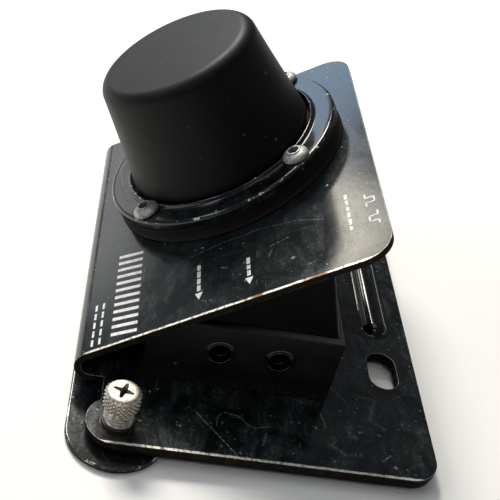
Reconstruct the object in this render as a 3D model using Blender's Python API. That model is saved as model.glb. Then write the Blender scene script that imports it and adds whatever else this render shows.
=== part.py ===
"""Bass-drum trigger pad for an electronic drum set, built from separate pieces.

One sheet of steel is folded over a tight radius: its lower leaf is the base
plate and its upper leaf rises as a slope that carries a round rubber pad.  The
player sits on the -Y side.  Sizes are in millimetres in a workshop frame
(x from the middle of the slope, y back from the front of the fold, z up from
the top of the base plate).  The empty "bench" moves that frame to the part's
own one: +Z up, origin under the middle of the part on the floor.
"""
import bpy
import bmesh
from math import sin, cos, tan, pi, radians
from mathutils import Matrix, Vector

MM = 0.001
GAP = 0.3                      # clearance between pieces that rest on each other

# ---- driving dimensions (mm) ------------------------------------------------
SHEET = 2.6                    # steel sheet
SLOPE = radians(34.5)          # angle of the upper leaf
FOLD_R = 6.5                   # outside radius of the fold
SLOPE_LEN = 116.5              # up the slope, from the end of the fold
SLOPE_HALF = 74.0              # half the width of the upper leaf
SLOPE_CORNER = 11.5
BASE_FAR = -74.0               # base plate, left edge for the player
BASE_NEAR = 105.3              # base plate, right edge for the player
BASE_BACK = 135.0
BASE_CORNER = 11.0
MAT_TOP = -SHEET - GAP         # rubber mat under the base plate
MAT_BOTTOM = -4.65
BAR_TOP = -4.95                # steel bar under the front
FLOOR = -7.25
BAR_R = 18.0                   # half width of the bar and radius of its ends
LOBE_R = 11.3                  # base plate's ear round the anchor bolt
BOLT = (94.5, 18.1)            # anchor bolt
BAR_FIX = (-55.5, 18.1)        # countersunk screw at the bar's other end
SLOT = (49.5, 121.0, 20.6, 12.0)       # centre x, centre y, length, width
BEAD = (29.0, -56.0, 121.5, 5.0)       # ends of the pressed bead, its y, its radius

PAD_X = -18.7                  # pad axis across the slope
PAD_S = 58.4                   # pad axis up the slope
BRIM = (35.5, 49.5, GAP, 6.2)          # rubber brim: radii and heights
RING = (39.9, 49.8, 6.5, 10.2)         # steel clamp ring: radii and heights
PAD_FOOT_R, PAD_TOP_R = 38.7, 32.5
PAD_FOOT, PAD_TOP = 10.7, 55.4
PAD_ROUND = 5.2
PAD_WALL = 6.0
SCREW_HALF = 31.4              # ring screws stand in a square of this half side
PAD_TRAVEL = 3.0

JACK_PANEL = 71.4              # x of the panel with the two sockets
JACK_Y = (51.1, 73.3)
JACK_Z = 16.75
TRAY_X = 22.0                  # inner end of the connection box
TRAY_FRONT, TRAY_BACK = 24.0, 95.0
TRAY_TOP = 29.5
WALL = 2.5
STEP_IN = 2.0                  # how far the cover stands back from the tray
COVER_LEAN = 10.5              # how far the cover's back leans forward to its top
BOARD_Z = (6.0, 7.6)
SWITCH_X, SWITCH_Z = 50.0, 11.6
SWITCH_TRAVEL = 4.0

# ---- frame ---------------------------------------------------------------
FOLD_TOP = Vector((0, FOLD_R * (1 - sin(SLOPE)), FOLD_R - SHEET + FOLD_R * cos(SLOPE)))
UP_SLOPE = Vector((0, cos(SLOPE), sin(SLOPE)))
OFF_SLOPE = Vector((0, -sin(SLOPE), cos(SLOPE)))
PAD_FRONT = (FOLD_TOP + UP_SLOPE * PAD_S + OFF_SLOPE * (PAD_TOP - PAD_ROUND)).y \
    - (PAD_TOP_R - PAD_ROUND) * cos(SLOPE) - PAD_ROUND
CENTRE = Vector(((BASE_FAR + BOLT[0] + BAR_R) / 2, (PAD_FRONT + BASE_BACK) / 2, FLOOR))

# ---- finishes: colour, metallic, roughness --------------------------------
FINISHES = {
    "gloss_black_paint": ((0.012, 0.013, 0.015), 0.0, 0.16),
    "matte_black_rubber": ((0.020, 0.020, 0.021), 0.0, 0.75),
    "brown_black_rubber": ((0.028, 0.024, 0.020), 0.0, 0.80),
    "black_moulded_plastic": ((0.016, 0.016, 0.017), 0.0, 0.45),
    "dull_plated_screw": ((0.52, 0.50, 0.46), 1.0, 0.42),
    "bright_plated_bolt": ((0.80, 0.78, 0.74), 1.0, 0.28),
    "bare_steel": ((0.45, 0.45, 0.44), 1.0, 0.35),
    "brass": ((0.60, 0.44, 0.18), 1.0, 0.35),
    "foam": ((0.10, 0.10, 0.11), 0.0, 0.95),
    "board_resin": ((0.10, 0.22, 0.09), 0.0, 0.50),
    "lead_sleeve": ((0.25, 0.25, 0.26), 0.0, 0.60),
}


def finish(piece, name):
    """A Principled material for one piece in one of the finishes."""
    colour, metallic, roughness = FINISHES[name]
    material = bpy.data.materials.new(f"{piece} {name}")
    material.use_nodes = True
    shader = material.node_tree.nodes["Principled BSDF"]
    shader.inputs["Base Color"].default_value = (*colour, 1.0)
    shader.inputs["Metallic"].default_value = metallic
    shader.inputs["Roughness"].default_value = roughness
    material.diffuse_color = (*colour, 1.0)
    return material


def in_metres(matrix):
    """The same placing with its shift turned from millimetres into metres."""
    placed = matrix.copy()
    placed.translation = matrix.translation * MM
    return placed


def empty(name, parent, matrix):
    """An empty that carries a local frame, placed in millimetres."""
    frame = bpy.data.objects.new(name, None)
    bpy.context.collection.objects.link(frame)
    frame.parent = parent
    frame.matrix_local = in_metres(matrix)
    return frame


def solid(name, bm, material, parent, place=Matrix(), sharp=35):
    """Turn a bmesh in millimetres into a named object in metres at its place."""
    bmesh.ops.remove_doubles(bm, verts=bm.verts, dist=1e-4)
    bmesh.ops.recalc_face_normals(bm, faces=bm.faces)
    bmesh.ops.scale(bm, vec=(MM, MM, MM), verts=bm.verts)
    mesh = bpy.data.meshes.new(name)
    bm.to_mesh(mesh)
    bm.free()
    mesh.shade_smooth()
    mesh.set_sharp_from_angle(angle=radians(sharp))
    mesh.materials.append(finish(name, material))
    thing = bpy.data.objects.new(name, mesh)
    bpy.context.collection.objects.link(thing)
    thing.parent = parent
    thing.matrix_local = in_metres(place)
    return thing


def cutter(name, bm, parent, place=Matrix()):
    """A wire-only tool body for a Boolean."""
    tool = solid(name, bm, "bare_steel", parent, place)
    tool.hide_render = True
    tool.display_type = 'WIRE'
    return tool


def apply_tool(target, tool, operation='DIFFERENCE'):
    cut = target.modifiers.new(tool.name, 'BOOLEAN')
    cut.operation = operation
    cut.solver = 'EXACT'
    cut.object = tool


# ---- shapes -----------------------------------------------------------------
def arc(cx, cy, r, start, end, steps):
    """Points on an arc, angles in degrees, both ends included."""
    return [(cx + r * cos(radians(start + (end - start) * i / steps)),
             cy + r * sin(radians(start + (end - start) * i / steps))) for i in range(steps + 1)]


def add_prism(bm, outline, low, high, axis='Z'):
    """Extrude a closed outline along Z, or along X with the outline in (y, z)."""
    place = {'Z': lambda p: (p[0], p[1], low), 'X': lambda p: (low, p[0], p[1])}[axis]
    direction = {'Z': (0, 0, high - low), 'X': (high - low, 0, 0)}[axis]
    face = bm.faces.new([bm.verts.new(place(p)) for p in outline])
    grown = bmesh.ops.extrude_face_region(bm, geom=[face])
    moved = [v for v in grown["geom"] if isinstance(v, bmesh.types.BMVert)]
    bmesh.ops.translate(bm, vec=direction, verts=moved)


def add_turned(bm, profile, steps, matrix=Matrix(), closed=True):
    """Spin (radius, height) points round local Z; an open profile ends on the axis."""
    verts = [bm.verts.new((r, 0, h)) for r, h in profile]
    pairs = list(zip(verts, verts[1:])) + ([(verts[-1], verts[0])] if closed else [])
    edges = [bm.edges.new(pair) for pair in pairs]
    spun = bmesh.ops.spin(bm, geom=verts + edges, cent=(0, 0, 0), axis=(0, 0, 1),
                          angle=2 * pi, steps=steps, use_merge=True)
    fresh = {v for v in spun["geom_last"] if isinstance(v, bmesh.types.BMVert)} | set(verts)
    linked = set(fresh)
    stack = list(fresh)
    while stack:
        for edge in stack.pop().link_edges:
            for v in edge.verts:
                if v not in linked:
                    linked.add(v)
                    stack.append(v)
    bmesh.ops.transform(bm, matrix=matrix, verts=list(linked))


def add_rod(bm, r, low, high, matrix=Matrix(), steps=32):
    add_turned(bm, [(0, low), (r, low), (r, high), (0, high)], steps, matrix, closed=False)


def at(x, y, z=0.0):
    return Matrix.Translation((x, y, z))


def along_x(x, y, z):
    """A frame at a point with its local Z along +X."""
    return Matrix.Translation((x, y, z)) @ Matrix.Rotation(pi / 2, 4, 'Y')


def hexagon(across_flats):
    r = across_flats / 2 / cos(pi / 6)
    return [(r * cos(i * pi / 3), r * sin(i * pi / 3)) for i in range(6)]


def capsule(bm, x_low, x_high, y, z, r, steps=24):
    """A rod along X with half-ball ends."""
    half = [(r * cos(a), r * sin(a)) for a in [pi / 2 * i / 6 for i in range(7)]]
    length = x_high - x_low - 2 * r
    profile = [(p[0], length + r + p[1]) for p in half[:-1]] + [(0, length + 2 * r)]
    profile = [(0, 0)] + [(p[0], r - p[1]) for p in reversed(half[:-1])] + profile
    add_turned(bm, profile, steps, along_x(x_low, y, z), closed=False)


def under_slope(y):
    """Height of the upper leaf's underside above the base plate."""
    return FOLD_TOP.z + tan(SLOPE) * (y - FOLD_TOP.y) - SHEET / cos(SLOPE)


# ---- sheet metal ----------------------------------------------------------------
def fold_profile():
    """The folded sheet seen from its side, as (y, z) points."""
    c_y, c_z = FOLD_R, FOLD_R - SHEET
    inner = FOLD_R - SHEET
    high = FOLD_TOP + UP_SLOPE * SLOPE_LEN
    high_in = high - OFF_SLOPE * SHEET
    turn = 90 + SLOPE * 180 / pi
    outside = arc(c_y, c_z, FOLD_R, 270, turn, 14)
    inside = arc(c_y, c_z, inner, turn, 270, 14)
    return [(BASE_BACK, -SHEET)] + outside + [(high.y, high.z), (high_in.y, high_in.z)] \
        + inside + [(BASE_BACK, 0)]


def corner_outside(x, y, r, sx, sy, margin=4):
    """The waste beyond a rounded corner whose edges meet at (x, y)."""
    cx, cy = x - sx * r, y - sy * r
    quarter = [(cx + sx * r * sin(a), cy + sy * r * cos(a)) for a in [pi / 2 * i / 8 for i in range(9)]]
    return quarter + [(x + sx * margin, cy), (x + sx * margin, y + sy * margin), (cx, y + sy * margin)]


def slot_outline(grow=0.0):
    x, y, length, width = SLOT
    r = width / 2 + grow
    run = length / 2 - width / 2
    return arc(x + run, y, r, -90, 90, 12) + arc(x - run, y, r, 90, 270, 12)


def wing_waste():
    """What is cut away in front of the ear, from the fold's end round the bolt."""
    ear = arc(BOLT[0], BOLT[1], LOBE_R, 216, 360, 18)
    return [(SLOPE_HALF, -8), (SLOPE_HALF, ear[0][1])] + ear \
        + [(BASE_NEAR + 10.5, BOLT[1]), (BASE_NEAR + 10.5, -8)]


def make_chassis(bench, slope):
    bm = bmesh.new()
    add_prism(bm, fold_profile(), BASE_FAR, BASE_NEAR + 0.5, 'X')
    chassis = solid("chassis", bm, "gloss_black_paint", bench)

    trim = bmesh.new()
    add_prism(trim, [(SLOPE_HALF, -10), (SLOPE_HALF + 60, -10), (SLOPE_HALF + 60, 140), (SLOPE_HALF, 140)],
              0.8, 120)
    apply_tool(chassis, cutter("trim_slope_side", trim, bench))
    front = bmesh.new()
    add_prism(front, wing_waste(), -9, 14)
    apply_tool(chassis, cutter("trim_front", front, bench))
    side = bmesh.new()
    add_prism(side, [(BASE_NEAR, -12), (BASE_NEAR + 20, -12), (BASE_NEAR + 20, 150), (BASE_NEAR, 150)], -9, 6)
    apply_tool(chassis, cutter("trim_near_side", side, bench))
    back = bmesh.new()
    add_prism(back, corner_outside(BASE_NEAR, BASE_BACK, BASE_CORNER, 1, 1), -6, 4)
    add_prism(back, corner_outside(BASE_FAR, BASE_BACK, BASE_CORNER, -1, 1), -6, 4)
    apply_tool(chassis, cutter("trim_back_corners", back, bench))
    high = bmesh.new()
    for side_sign in (1, -1):
        add_prism(high, corner_outside(side_sign * SLOPE_HALF, SLOPE_LEN, SLOPE_CORNER, side_sign, 1), -6, 4)
    apply_tool(chassis, cutter("trim_high_corners", high, slope))

    near_end, far_end, bead_y, bead_r = BEAD
    bead = bmesh.new()
    capsule(bead, far_end, near_end, bead_y, -1.2, bead_r)
    bmesh.ops.bisect_plane(bead, geom=bead.verts[:] + bead.edges[:] + bead.faces[:], plane_co=(0, 0, -1.4),
                           plane_no=(0, 0, 1), clear_inner=True)
    bmesh.ops.holes_fill(bead, edges=[e for e in bead.edges if e.is_boundary], sides=0)
    apply_tool(chassis, cutter("bead_outside", bead, bench), 'UNION')
    hollow = bmesh.new()
    capsule(hollow, far_end + 2.3, near_end - 2.3, bead_y, -1.2, bead_r - 2.3)
    apply_tool(chassis, cutter("bead_inside", hollow, bench))

    holes = bmesh.new()
    add_rod(holes, 6.35, -6, 3, at(*BOLT), 40)
    add_rod(holes, 3.3, -6, 3, at(*BAR_FIX))
    for y in HOUSING_SCREWS_Y:
        add_turned(holes, [(0, -4), (4.0, -4), (4.0, -2.4), (1.9, -0.4), (1.9, 3), (0, 3)], 24,
                   at(HOUSING_SCREW_X, y), closed=False)
    add_prism(holes, slot_outline(), -8, 4)
    apply_tool(chassis, cutter("base_holes", holes, bench))
    high_holes = bmesh.new()
    for x, s in ring_screw_places():
        add_rod(high_holes, 3.2, -6, 3, at(x, s))
    add_rod(high_holes, 4.3, -6, 3, at(PAD_X, PAD_S))
    apply_tool(chassis, cutter("slope_holes", high_holes, slope))
    return chassis


def make_front_bar(bench):
    """A flat bar with round ends under the fold, turned on by the bolt and a screw."""
    outline = arc(BOLT[0], BOLT[1], BAR_R, -90, 90, 24) + arc(BAR_FIX[0], BAR_FIX[1], BAR_R, 90, 270, 24)
    bm = bmesh.new()
    add_prism(bm, outline, FLOOR, BAR_TOP)
    bar = solid("front_bar", bm, "gloss_black_paint", bench)
    holes = bmesh.new()
    add_rod(holes, 5.7, -9, -3, at(*BOLT), 40)
    add_turned(holes, [(0, -9), (6.0, -9), (6.0, FLOOR), (3.3, FLOOR + 1.9), (3.3, -3), (0, -3)], 32,
               at(*BAR_FIX), closed=False)
    apply_tool(bar, cutter("bar_holes", holes, bench))
    return bar


def make_floor_mat(bench):
    """Rubber sheet under the base plate; its raised tread reaches the floor behind the bar."""
    inset = 0.5
    r = BASE_CORNER - inset
    x_low, x_high, y_high = BASE_FAR + inset, BASE_NEAR - inset, BASE_BACK - inset
    front = 11.0
    outline = [(x_low, front), (x_high, front)] + arc(x_high - r, y_high - r, r, 0, 90, 8) \
        + arc(x_low + r, y_high - r, r, 90, 180, 8)
    bm = bmesh.new()
    add_prism(bm, outline, MAT_BOTTOM, MAT_TOP)
    mat = solid("floor_mat", bm, "brown_black_rubber", bench)
    tread = bmesh.new()
    margin = 9.0
    t_low, t_high, t_front, t_back = x_low + margin, x_high - margin, BOLT[1] + BAR_R + 6, SLOT[1] - 12
    c = 5.0
    add_prism(tread, arc(t_high - c, t_front + c, c, -90, 0, 6) + arc(t_high - c, t_back - c, c, 0, 90, 6)
              + arc(t_low + c, t_back - c, c, 90, 180, 6) + arc(t_low + c, t_front + c, c, 180, 270, 6),
              FLOOR, MAT_BOTTOM + 0.6)
    apply_tool(mat, cutter("tread", tread, bench), 'UNION')
    cuts = bmesh.new()
    add_prism(cuts, slot_outline(0.2), -9, 1)
    add_rod(cuts, 8.0, -9, 1, at(*BOLT), 40)
    add_rod(cuts, 5.0, -9, 1, at(*BAR_FIX))
    apply_tool(mat, cutter("mat_cuts", cuts, bench))
    return mat


# ---- anchor bolt ------------------------------------------------------------------
def make_anchor(bench):
    """Bush pressed into the ear and the knurled bolt that bites the floor."""
    axis = empty("bolt_axis", bench, at(*BOLT))
    bush = bmesh.new()
    add_turned(bush, [(5.35, 0.8), (6.9, 0.8), (6.9, GAP), (6.05, GAP), (6.05, -4.6), (5.35, -4.6)], 28)
    solid("anchor_bush", bush, "bare_steel", axis)
    tip = FLOOR + GAP
    bolt = bmesh.new()
    add_turned(bolt, [(0, tip), (0.8, tip + 0.2), (5.0, tip + 4.4), (5.0, 9.3), (6.2, 9.3), (6.8, 10.0),
                      (6.8, 13.6), (5.9, 14.8), (0, 14.8)], 28, closed=False)
    anchor = solid("anchor_bolt", bolt, "bright_plated_bolt", axis)
    recess = bmesh.new()
    a, b = 0.8, 3.6
    cross = [(b, -a), (b, a), (a, a), (a, b), (-a, b), (-a, a), (-b, a), (-b, -a), (-a, -a), (-a, -b), (a, -b),
             (a, -a)]
    add_prism(recess, cross, 12.4, 17)
    apply_tool(anchor, cutter("cross_recess", recess, axis, Matrix.Rotation(0.5, 4, 'Z')))


def make_bar_fixing(bench):
    """Countersunk screw and nut that hold the bar's far end under the base plate."""
    screw = bmesh.new()
    add_turned(screw, [(0, FLOOR + GAP), (5.1, FLOOR + GAP), (3.0, FLOOR + 1.9), (3.0, 6.0), (0, 6.0)], 24,
               closed=False)
    body = solid("bar_screw", screw, "dull_plated_screw", bench, at(*BAR_FIX))
    socket = bmesh.new()
    add_prism(socket, hexagon(3.0), FLOOR - 1, FLOOR + 1.6)
    apply_tool(body, cutter("bar_screw_socket", socket, bench, at(*BAR_FIX)))
    add_nut("bar_nut", bench, at(*BAR_FIX, GAP), 4.5, 10.0, 3.25)


def add_nut(name, parent, place, height, across_flats, bore):
    """A hexagon nut that stands on its place."""
    bm = bmesh.new()
    add_prism(bm, hexagon(across_flats), 0, height)
    nut = solid(name, bm, "dull_plated_screw", parent, place)
    hole = bmesh.new()
    add_rod(hole, bore, -2, height + 2, steps=20)
    apply_tool(nut, cutter(name + "_bore", hole, parent, place))


# ---- pad stack ---------------------------------------------------------------------
def ring_screw_places():
    """The four screws as (x, s) on the slope."""
    return [(PAD_X + sx * SCREW_HALF, PAD_S + ss * SCREW_HALF) for ss in (-1, 1) for sx in (1, -1)]


def make_pad_stack(slope):
    """Rubber brim, clamp ring, striking pad and what lies inside them."""
    axis = empty("pad_axis", slope, at(PAD_X, PAD_S))
    holes_at = [(x - PAD_X, s - PAD_S) for x, s in ring_screw_places()]

    r_in, r_out, low, high = BRIM
    brim = bmesh.new()
    add_turned(brim, [(r_in, low), (r_out - 0.8, low), (r_out, low + 0.8), (r_out, high - 0.5),
                      (r_out - 0.5, high), (r_in, high)], 60)
    brim = solid("pad_brim", brim, "brown_black_rubber", axis)

    r_in, r_out, low, high = RING
    ring = bmesh.new()
    add_turned(ring, [(r_in, low + 2.1), (r_out - 2.0, low + 2.1), (r_out - 2.0, low), (r_out, low),
                      (r_out, high - 1.3), (r_out - 0.5, high - 0.4), (r_out - 1.5, high), (r_in + 0.8, high),
                      (r_in, high - 0.6)], 60)
    ring = solid("clamp_ring", ring, "gloss_black_paint", axis)
    holes = bmesh.new()
    for x, y in holes_at:
        add_rod(holes, 3.2, -4, 20, at(x, y), 24)
    through = cutter("ring_holes", holes, axis)
    apply_tool(brim, through)
    apply_tool(ring, through)

    lean = (PAD_FOOT_R - PAD_TOP_R) / (PAD_TOP - PAD_FOOT)
    rim_r = PAD_TOP_R - PAD_ROUND
    top_round = [(rim_r + PAD_ROUND * sin(a), PAD_TOP - PAD_ROUND + PAD_ROUND * cos(a))
                 for a in [pi / 2 * i / 5 for i in range(6)]]
    inner_top = PAD_TOP - PAD_WALL
    pad = bmesh.new()
    add_turned(pad, [(0, PAD_TOP)] + top_round
               + [(PAD_FOOT_R, PAD_FOOT + 0.6), (PAD_FOOT_R - 0.6, PAD_FOOT), (PAD_FOOT_R - PAD_WALL, PAD_FOOT),
                  (PAD_FOOT_R - PAD_WALL - lean * (inner_top - PAD_FOOT), inner_top), (0, inner_top)],
               60, closed=False)
    solid("strike_pad", pad, "matte_black_rubber", axis)

    foam_low, foam_high = 8.3, inner_top - GAP
    foam_foot = PAD_FOOT_R - PAD_WALL - 0.6
    foam = bmesh.new()
    add_turned(foam, [(0, foam_low), (foam_foot, foam_low), (foam_foot, PAD_FOOT),
                      (foam_foot - lean * (foam_high - PAD_FOOT), foam_high), (0, foam_high)], 48, closed=False)
    solid("pad_foam", foam, "foam", axis)

    plate = bmesh.new()
    add_rod(plate, 34.5, 3.3, 4.9, steps=48)
    solid("sensor_plate", plate, "bare_steel", axis)
    disc = bmesh.new()
    add_rod(disc, 13.5, 2.4, 3.0, steps=32)
    solid("piezo_disc", disc, "brass", axis)
    cushion = bmesh.new()
    add_turned(cushion, [(16.0, GAP), (33.5, GAP), (33.5, 3.0), (16.0, 3.0)], 40)
    solid("sensor_cushion", cushion, "foam", axis)

    for number, (x, y) in enumerate(holes_at, 1):
        make_ring_screw(number, axis, x, y)
    return axis


def make_ring_screw(number, axis, x, y):
    """Button-head screw with a hexagon socket, and its nut under the slope."""
    head_r, head_h, shank_r = 5.3, 3.3, 2.85
    tip = -9.5 - RING[3]
    dome = [(head_r * cos(a), 0.5 + (head_h - 0.5) * sin(a)) for a in [radians(18 * i) for i in range(4)]]
    bm = bmesh.new()
    add_turned(bm, [(0, head_h), (2.9, head_h)] + list(reversed(dome))
               + [(head_r - 0.2, 0), (shank_r, 0), (shank_r, tip), (0, tip)], 24, closed=False)
    place = at(x, y, RING[3] + GAP)
    screw = solid(f"ring_screw_{number}", bm, "dull_plated_screw", axis, place)
    socket = bmesh.new()
    add_prism(socket, hexagon(4.0), 1.1, 6)
    apply_tool(screw, cutter(f"socket_{number}", socket, axis, place @ Matrix.Rotation(0.4 * number, 4, 'Z')))
    add_nut(f"ring_nut_{number}", axis, at(x, y, -SHEET - GAP - 4.8), 4.8, 10.0, 3.15)


# ---- connection box -----------------------------------------------------------------
HOUSING_SCREW_X = 30.5
HOUSING_SCREWS_Y = (33.0, 84.0)
BOARD_SCREW_X = 38.8
BOARD_SCREWS_Y = (46.0, 79.0)
LEAD_ENTRY = (62.0, 21.0)      # y, z where the lead goes through the tray's inner wall


def make_housing(bench):
    """Two moulded shells under the slope: a tray on the base plate and a cover above it."""
    skin = 0.7
    rise = tan(SLOPE)
    slope_start = TRAY_FRONT
    level = TRAY_FRONT + (TRAY_TOP - (under_slope(TRAY_FRONT) - skin)) / rise
    outline = [(TRAY_FRONT, GAP), (TRAY_BACK, GAP), (TRAY_BACK, TRAY_TOP), (level, TRAY_TOP),
               (slope_start, under_slope(slope_start) - skin)]
    bm = bmesh.new()
    add_prism(bm, outline, TRAY_X, JACK_PANEL, 'X')
    tray = solid("housing_tray", bm, "black_moulded_plastic", bench)
    drop = WALL / cos(SLOPE) + skin
    inner_front = TRAY_FRONT + WALL
    open_from = level + 3.5
    hollow = bmesh.new()
    add_prism(hollow, [(inner_front, GAP + WALL), (TRAY_BACK - WALL, GAP + WALL), (TRAY_BACK - WALL, TRAY_TOP + 3),
                       (open_from, TRAY_TOP + 3), (open_from, under_slope(open_from) - drop - 1.6),
                       (inner_front, under_slope(inner_front) - drop)],
              TRAY_X + WALL, JACK_PANEL - WALL, 'X')
    apply_tool(tray, cutter("tray_inside", hollow, bench))
    bosses = bmesh.new()
    for y in HOUSING_SCREWS_Y:
        add_rod(bosses, 3.6, GAP + 1.0, 16.0, at(HOUSING_SCREW_X, y), 20)
    for y in BOARD_SCREWS_Y:
        add_rod(bosses, 3.0, GAP + 1.0, BOARD_Z[0] - GAP, at(BOARD_SCREW_X, y), 20)
    apply_tool(tray, cutter("tray_bosses", bosses, bench), 'UNION')
    holes = bmesh.new()
    for y in JACK_Y:
        add_turned(holes, [(0, -6), (5.2, -6), (5.2, -0.7), (6.4, -0.7), (6.4, 3), (0, 3)], 28,
                   along_x(JACK_PANEL, y, JACK_Z), closed=False)
    for y in HOUSING_SCREWS_Y:
        add_rod(holes, 1.75, -3, 12.5, at(HOUSING_SCREW_X, y), 16)
    for y in BOARD_SCREWS_Y:
        add_rod(holes, 1.35, 2.2, 9.0, at(BOARD_SCREW_X, y), 16)
    add_rod(holes, 3.0, -2, 6, along_x(TRAY_X, *LEAD_ENTRY), 20)
    apply_tool(tray, cutter("tray_holes", holes, bench))
    window = bmesh.new()
    add_prism(window, [(SWITCH_X - 3.2, TRAY_BACK - 6), (SWITCH_X + SWITCH_TRAVEL + 3.2, TRAY_BACK - 6),
                       (SWITCH_X + SWITCH_TRAVEL + 3.2, TRAY_BACK + 4), (SWITCH_X - 3.2, TRAY_BACK + 4)],
              SWITCH_Z - 2.6, SWITCH_Z + 2.6)
    apply_tool(tray, cutter("switch_window", window, bench))

    front, back = level + 4.5, TRAY_BACK - STEP_IN
    foot = TRAY_TOP + GAP
    bm = bmesh.new()
    back_top = back - COVER_LEAN
    add_prism(bm, [(front, foot), (back, foot), (back_top, under_slope(back_top) - skin),
                   (front, under_slope(front) - skin)],
              TRAY_X + STEP_IN, JACK_PANEL - STEP_IN, 'X')
    cover = solid("housing_cover", bm, "black_moulded_plastic", bench)
    hollow = bmesh.new()
    inner = front + 3.6
    inner_back, inner_top = back - WALL - 0.2, back_top - WALL - 0.2
    add_prism(hollow, [(inner, foot - 3), (inner_back, foot - 3), (inner_top, under_slope(inner_top) - drop),
                       (inner, under_slope(inner) - drop)],
              TRAY_X + STEP_IN + WALL, JACK_PANEL - STEP_IN - WALL, 'X')
    apply_tool(cover, cutter("cover_inside", hollow, bench))

    for number, y in enumerate(HOUSING_SCREWS_Y, 1):
        screw = bmesh.new()
        add_turned(screw, [(0, -2.55), (3.6, -2.55), (1.5, -0.5), (1.5, 11.5), (0, 11.5)], 20, closed=False)
        solid(f"housing_screw_{number}", screw, "dull_plated_screw", bench, at(HOUSING_SCREW_X, y))


def make_electrics(bench):
    """Board, two sockets with metal collars, polarity switch and the pad's lead."""
    board = bmesh.new()
    add_prism(board, [(35.5, 28.5), (67.6, 28.5), (67.6, 88.6), (35.5, 88.6)], *BOARD_Z)
    board = solid("circuit_board", board, "board_resin", bench)
    holes = bmesh.new()
    for y in BOARD_SCREWS_Y:
        add_rod(holes, 1.6, 4, 10, at(BOARD_SCREW_X, y), 20)
    apply_tool(board, cutter("board_holes", holes, bench))
    for number, y in enumerate(BOARD_SCREWS_Y, 1):
        screw = bmesh.new()
        top = BOARD_Z[1] + GAP
        add_turned(screw, [(0, 3.4), (1.1, 3.4), (1.1, top), (2.6, top), (2.6, top + 0.8), (1.6, top + 1.7),
                           (0, top + 1.7)], 20, closed=False)
        solid(f"board_screw_{number}", screw, "dull_plated_screw", bench, at(BOARD_SCREW_X, y))

    for name, y in zip(("output", "mix"), JACK_Y):
        low, high = 42.6, JACK_PANEL - WALL - GAP
        body = bmesh.new()
        add_prism(body, [(y - 7.6, BOARD_Z[1] + GAP), (y + 7.6, BOARD_Z[1] + GAP), (y + 7.6, 25.0), (y - 7.6, 25.0)],
                  low, high, 'X')
        jack = solid(f"{name}_jack", body, "black_moulded_plastic", bench)
        bore = bmesh.new()
        add_turned(bore, [(0, -24), (3.4, -24), (3.4, -13), (5.0, -13), (5.0, 6), (0, 6)], 32,
                   along_x(JACK_PANEL - WALL, y, JACK_Z), closed=False)
        apply_tool(jack, cutter(f"{name}_bore", bore, bench))
        collar = bmesh.new()
        add_turned(collar, [(3.3, -13.5), (4.7, -13.5), (4.7, -0.9), (4.4, -0.5), (3.7, -0.5), (3.3, -0.9)], 28)
        solid(f"{name}_collar", collar, "bare_steel", bench, along_x(JACK_PANEL, y, JACK_Z))

    inner_face = TRAY_BACK - WALL - GAP
    body = bmesh.new()
    add_prism(body, [(SWITCH_X - 5, inner_face - 6), (SWITCH_X + SWITCH_TRAVEL + 5, inner_face - 6),
                     (SWITCH_X + SWITCH_TRAVEL + 5, inner_face), (SWITCH_X - 5, inner_face)],
              BOARD_Z[1] + GAP, SWITCH_Z + 4)
    switch = solid("switch_body", body, "bare_steel", bench)
    groove = bmesh.new()
    add_prism(groove, [(SWITCH_X - 3, inner_face - 4), (SWITCH_X + SWITCH_TRAVEL + 3, inner_face - 4),
                       (SWITCH_X + SWITCH_TRAVEL + 3, inner_face + 2), (SWITCH_X - 3, inner_face + 2)],
              SWITCH_Z - 2.3, SWITCH_Z + 2.3)
    apply_tool(switch, cutter("switch_groove", groove, bench))
    travel = empty("switch_travel", bench, at(SWITCH_X, TRAY_BACK, SWITCH_Z))
    front = -WALL - GAP - 3.5
    knob = bmesh.new()
    add_prism(knob, [(-2, front), (2, front), (2, 2.2), (1.4, 2.8), (-1.4, 2.8), (-2, 2.2)], -1.9, 1.9)
    solid("switch_slider", knob, "black_moulded_plastic", travel)

    hole = FOLD_TOP + UP_SLOPE * PAD_S + Vector((PAD_X, 0, 0))
    for name, matrix, wall in (("tray_grommet", along_x(TRAY_X, *LEAD_ENTRY), (0, WALL, 3.0)),
                               ("slope_grommet", at(*hole) @ Matrix.Rotation(SLOPE, 4, 'X'),
                                (-SHEET, 0, 4.3))):
        low, high, r = wall
        lip = r + 1.3
        ring = bmesh.new()
        add_turned(ring, [(1.5, low - 1.3), (lip, low - 1.3), (lip, low - GAP), (r - GAP, low - GAP),
                          (r - GAP, high + GAP), (lip, high + GAP), (lip, high + 1.2), (1.5, high + 1.2)], 20)
        solid(name, ring, "matte_black_rubber", bench, matrix)
    make_lead(bench, hole)


def make_lead(bench, hole):
    """Two-core lead from the sensor down through the slope and along to the board."""
    entry = Vector((TRAY_X, *LEAD_ENTRY))
    route = [hole + OFF_SLOPE * 2.0, hole, hole - OFF_SLOPE * 6, hole + Vector((3, 2, -11)),
             hole + Vector((10, 4, -15)), entry + Vector((-14, -1, 4)), entry + Vector((-7, 0, 0.6)),
             entry + Vector((0, 0, 0)), entry + Vector((6, 0, -0.6)), entry + Vector((11.5, 0, -3.5)),
             entry + Vector((15, 0, -8)), entry + Vector((16.5, 0, -12.2))]
    curve = bpy.data.curves.new("sensor_lead", 'CURVE')
    curve.dimensions = '3D'
    curve.bevel_depth = 0.9 * MM
    curve.bevel_resolution = 2
    curve.use_fill_caps = True
    points = smooth_route(route, 3)
    spline = curve.splines.new('POLY')
    spline.points.add(len(points) - 1)
    for point, place in zip(spline.points, points):
        point.co = (*(place * MM), 1)
    curve.materials.append(finish("sensor_lead", "lead_sleeve"))
    lead = bpy.data.objects.new("sensor_lead", curve)
    bpy.context.collection.objects.link(lead)
    lead.parent = bench


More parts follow.
